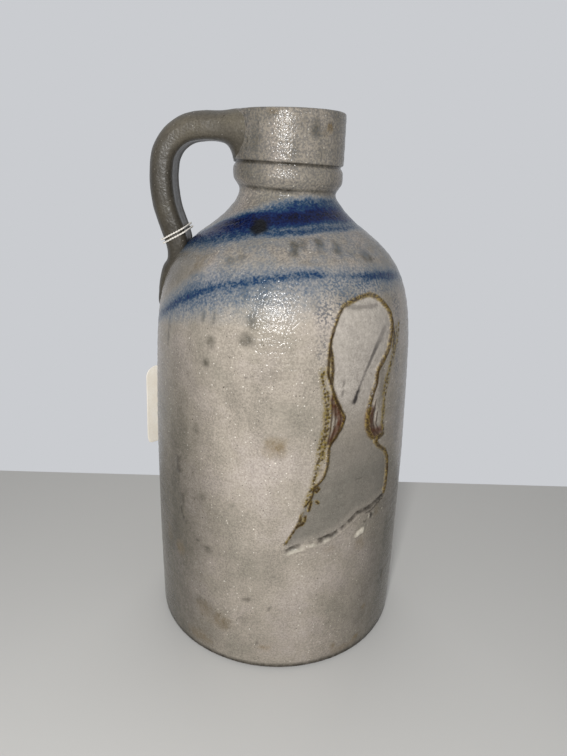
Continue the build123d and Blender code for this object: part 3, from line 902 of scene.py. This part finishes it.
# Salt-glazed stoneware, thrown on a wheel and fired in a coal kiln: grey-beige clay under a thin glassy
# skin that gathers into fine orange-peel beads, so highlights break into sparks. Iron specks and smoke
# leave dark and brown marks. The peel is about 1 mm. The clay's grains are nearer 0.3 mm, too fine to
# show, and are drawn 0.62 mm wide.
def salt_glaze(name, tones, rough_range, peel_depth, glint_share, painted):
    """The glaze in its dark, middle and pale tones, with or without the jug's own marks and painted shade."""
    made, tree = new_material(name)
    place = add(tree, "TexCoord")["Object"]
    # Smoke licks up the wall, so its patches are four times as tall as they are wide
    tall = add(tree, "Mapping", {"Vector": place, "Scale": (1, 1, 0.25)})["Vector"]
    clouds, peel, grain, drift, smoke = (
        add(tree, "TexNoise", {"Vector": at, "Scale": per(size), "Detail": detail, "Roughness": crisp})["Fac"]
        for at, size, detail, crisp in (
            (place, 26, 5, 0.6), (place, 0.95, 1, 0.5), (place, 0.62, 2, 0.6), (place, 2.2, 4, 0.65),
            (tall, 10, 4, 0.5),
        )
    )
    tone = add(tree, "ValToRGB", (clouds,), list(zip((0.32, 0.5, 0.68), tones)))["Color"]
    washes = [(smoke, 0.42, 0.72, 1.04, 0.91), (peel, 0.36, 0.62, 0.86, 1.06)]
    if not painted:
        # The handle is palest at its top, in metres up the jug
        washes.append((add(tree, "SeparateXYZ", (place,))["Z"], 0.226, 0.246, 0.66, 1.25))
    for wash in washes:
        amount = add(tree, "MapRange", wash)[0]
        tone = mixed(tree, 1, tone, amount, "MULTIPLY")
    # Beads of salt painted pale as glints, then iron specks: spacing in millimetres, how many are left out,
    # largest size, cover
    for apart, rare, largest, cover, code in (
        (1.7, 0.4, 0.24, glint_share, "#DED7CB"),
        (1.5, 0.35, 0.24, 0.55, "#39322A"),
        (3.8, 0.5, 0.1, 1.0, "#39322A"),
        (13.0, 0.5, 0.055, 1.0, "#39322A"),
    ):
        cells = add(tree, "TexVoronoi", {"Vector": place, "Scale": per(apart)})
        size = add(tree, "MapRange", (cells["Color"], rare, 1.0, 0.0, largest))[0]
        speck = maths(tree, "LESS_THAN", cells["Distance"], size)
        share = maths(tree, "MULTIPLY", speck, cover)
        tone = mixed(tree, share, tone, code)
    gloss = add(tree, "MapRange", (drift, 0.3, 0.7, *rough_range))[0]
    skin = peel
    if painted:
        tone, gloss, skin = kiln_marks_and_shade(tree, tone, gloss, peel, drift)
    # The clay's grain shows through all of it, in patches
    grains = add(tree, "MapRange", (grain, 0.36, 0.64, 0.82, 1.14))[0]
    patchy = add(tree, "MapRange", (smoke, 0.4, 0.6, 0.45, 1.0))[0]
    tone = mixed(tree, patchy, tone, grains, "MULTIPLY")
    bumps = add(tree, "Bump", {"Height": skin, "Strength": 0.8, "Distance": peel_depth * MM})["Normal"]
    look = {"Base Color": tone, "Roughness": gloss, "IOR": 1.5, "Specular IOR Level": 0.22, "Normal": bumps}
    surface(tree, look)
    return made


body_glaze = salt_glaze(
    "stoneware_salt_glaze_painted", ("#918A7E", "#A1988C", "#ACA299"), (0.15, 0.24), 0.34, 0.85, True
)
handle_glaze = salt_glaze(
    "stoneware_salt_glaze_handle", ("#46423A", "#524D44", "#5D574A"), (0.3, 0.42), 0.16, 0.2, False
)
jug = mesh_piece("thrown_jug", jug_points, jug_faces, body_glaze, "jug", "body_glaze", "jug_body")
first, past = len(under) * columns, (len(under) + len(rows)) * columns
strongest, farthest = 1.2, 9
for mark_name, strength in painted_marks.items():
    values = np.zeros(len(jug_points), np.float32)
    most = farthest if mark_name.endswith("_far") else strongest
    values[first:past] = np.clip(strength, 0, most).ravel()
    jug.data.attributes.new(mark_name, "FLOAT", "POINT").data.foreach_set("value", values)

# Handle: a strap pulled by hand, round outside and hollowed along its inner face. Each station gives
# reach from the axis, height, angle below level, width and thickness.
strap_stations = [
    (21.6, 245.2, 0, 37, 14.6), (25.2, 245.1, 0, 33.6, 13.8), (29, 245, 0, 29.4, 12.9),
    (37.8, 245, 0, 25, 12.4), (45.4, 243.3, 24, 23.2, 11.9), (50.88, 239.58, 45, 22.2, 11.5),
    (54.9, 233.6, 67, 22, 11.4), (56.3, 226.5, 90, 22, 11.4), (55.63, 212.4, 97.5, 22, 11.4),
    (51.36, 198.34, 105, 22, 11.3), (50.38, 194.67, 105, 22, 11), (51.23, 187.31, 93, 21, 8.8),
    (54.3, 181.9, 68, 18.6, 7.6), (56.3, 176.4, 72, 16.4, 6.6), (57.7, 170.6, 77, 14, 5.6),
    (58.6, 164.6, 81, 10.5, 4.2), (58.5, 160.6, 84, 5.5, 1),
]


def smooth_through(stations, count):
    """Stations again, on a smooth curve through them, and how far along it each is."""
    known = np.array(stations, float)
    along = walked_along(known[:, :2])
    slopes = np.gradient(known, along, axis=0)
    wanted = np.linspace(0, along[-1], count)
    made = []
    for at in wanted:
        k = min(np.searchsorted(along, at, side="right") - 1, len(along) - 2)
        h = along[k + 1] - along[k]
        t = (at - along[k]) / h
        made.append(
            (2 * t**3 - 3 * t**2 + 1) * known[k] + (t**3 - 2 * t**2 + t) * h * slopes[k]
            + (3 * t**2 - 2 * t**3) * known[k + 1] + (t**3 - t**2) * h * slopes[k + 1]
        )
    return np.array(made), wanted


strap_rings, strap_sides = 190, 84
outer_fullness, inner_fullness = 2.7, 4.2
hollow_depth, hollow_half, hollow_start = 0.75, 0.72, 22
web_depth, web_reach, web_fade = 7.5, 24.6, 1.5
root_length, root_least = 14, 150.0
strap, strap_run = smooth_through(strap_stations, strap_rings)
handle_points = []
for (reach, height, angle, width, thick), walked in zip(strap, strap_run):
    dip = math.radians(angle)
    outward = np.array((-math.sin(dip), 0, math.cos(dip)))
    for k in range(strap_sides):
        spread = math.tau * k / strap_sides
        c, s = math.cos(spread), math.sin(spread)
        full = outer_fullness if s > 0 else inner_fullness
        across = width / 2 * math.copysign(abs(c) ** (2 / full), c)
        out = thick / 2 * math.copysign(abs(s) ** (2 / full), s)
        share = across / width * 2
        # The inner face is hollowed along the strap, and webbed down onto the collar at its root
        if s < 0:
            hollow = hollow_depth * max(0.0, 1 - (share / hollow_half) ** 4)
            out += hollow * -s * min(1, walked / hollow_start)
            out += web_depth * s * math.exp(-max(reach - web_reach, 0) / web_fade) * (1 - 0.5 * share**2)
        # The root bends round the collar
        root = max(0.0, 1 - walked / root_length)
        bent = reach
        if root > 0:
            bent = reach * (1 - root) + root * math.sqrt(max(reach**2 - across**2, root_least))
        spot = np.array((-bent, across, height)) + outward * out
        n = Vector(spot)
        # Finger marks, small lumps, and lines drawn along the strap by the pull
        ripple = 0.16 * noise.noise(n / 11.0) + 0.07 * noise.noise(n / 3.2)
        ripple += 0.12 * math.sin(share * 9.0 + 0.8 * noise.noise(n / 25.0))
        handle_points.append(spot + (outward * s + np.array((0, c, 0))) * ripple)
handle_faces = ring_faces(strap_rings, strap_sides, capped=True)
handle_points = np.array(handle_points)
handle_points[:, 2] = np.minimum(handle_points[:, 2], jug_height)
mesh_piece("pulled_handle", handle_points, handle_faces, handle_glaze, "jug", "handle_glaze", "handle")

# Stage, in metres: plain pale paper that ends behind the jug, in front of open pale air
paper_pale, tree = new_material("studio_paper_pale")
surface(tree, {"Base Color": "#C6C5C2", "Roughness": 0.8})
paper_side, paper_back, paper_level = 0.8, 0.12, -0.0002
paper_points = [(x, y, paper_level) for y in (-paper_side, paper_back) for x in (-paper_side, paper_side)]
paper_mesh = bpy.data.meshes.new("studio_paper")
paper_mesh.from_pydata(paper_points, [], [(0, 1, 3, 2)])
paper_mesh.materials.append(paper_pale)
studio_paper = placed("studio_paper", paper_mesh)


def soft_box(name, at, towards, size, watts, mirrored=True):
    """A square soft light, which the glaze may mirror or not."""
    light = bpy.data.lights.new(name, "AREA")
    light.size = size
    light.energy = watts
    lamp = placed(name, light)
    lamp.visible_glossy = mirrored
    aim = (Vector(towards) - Vector(at)).to_track_quat("-Z", "Y").to_matrix().to_4x4()
    lamp.matrix_world = Matrix.Translation(at) @ aim


soft_box("key_by_the_camera", (-0.055, -0.43, 0.31), (0, 0, 0.12), 0.06, 1.98)
soft_box("overhead", (0.0, -0.1, 1.4), (0, 0, 0.1), 1.6, 1.4)
soft_box("fill_from_behind", (0.0, 1.3, 0.7), (0, 0, 0.12), 1.2, 7.0, mirrored=False)

# Glossy and clear surfaces mirror the pale air that the camera sees, and a weaker glow lights the jug
world = bpy.data.worlds.new("studio_air")
world.use_nodes = True
air = world.node_tree
air.nodes.clear()
seen = add(air, "Background", {"Color": "#CACCD0", "Strength": 1.0})[0]
glow = add(air, "Background", {"Color": "#EDEEF0", "Strength": 0.27})[0]
rays = add(air, "LightPath")
mirrored = maths(air, "MAXIMUM", rays["Is Glossy Ray"], rays["Is Transmission Ray"])
shown = maths(air, "MAXIMUM", mirrored, rays["Is Camera Ray"])
seen_or_glow = add(air, "MixShader", (shown, glow, seen))[0]
add(air, "OutputWorld", {"Surface": seen_or_glow})
scene.world = world
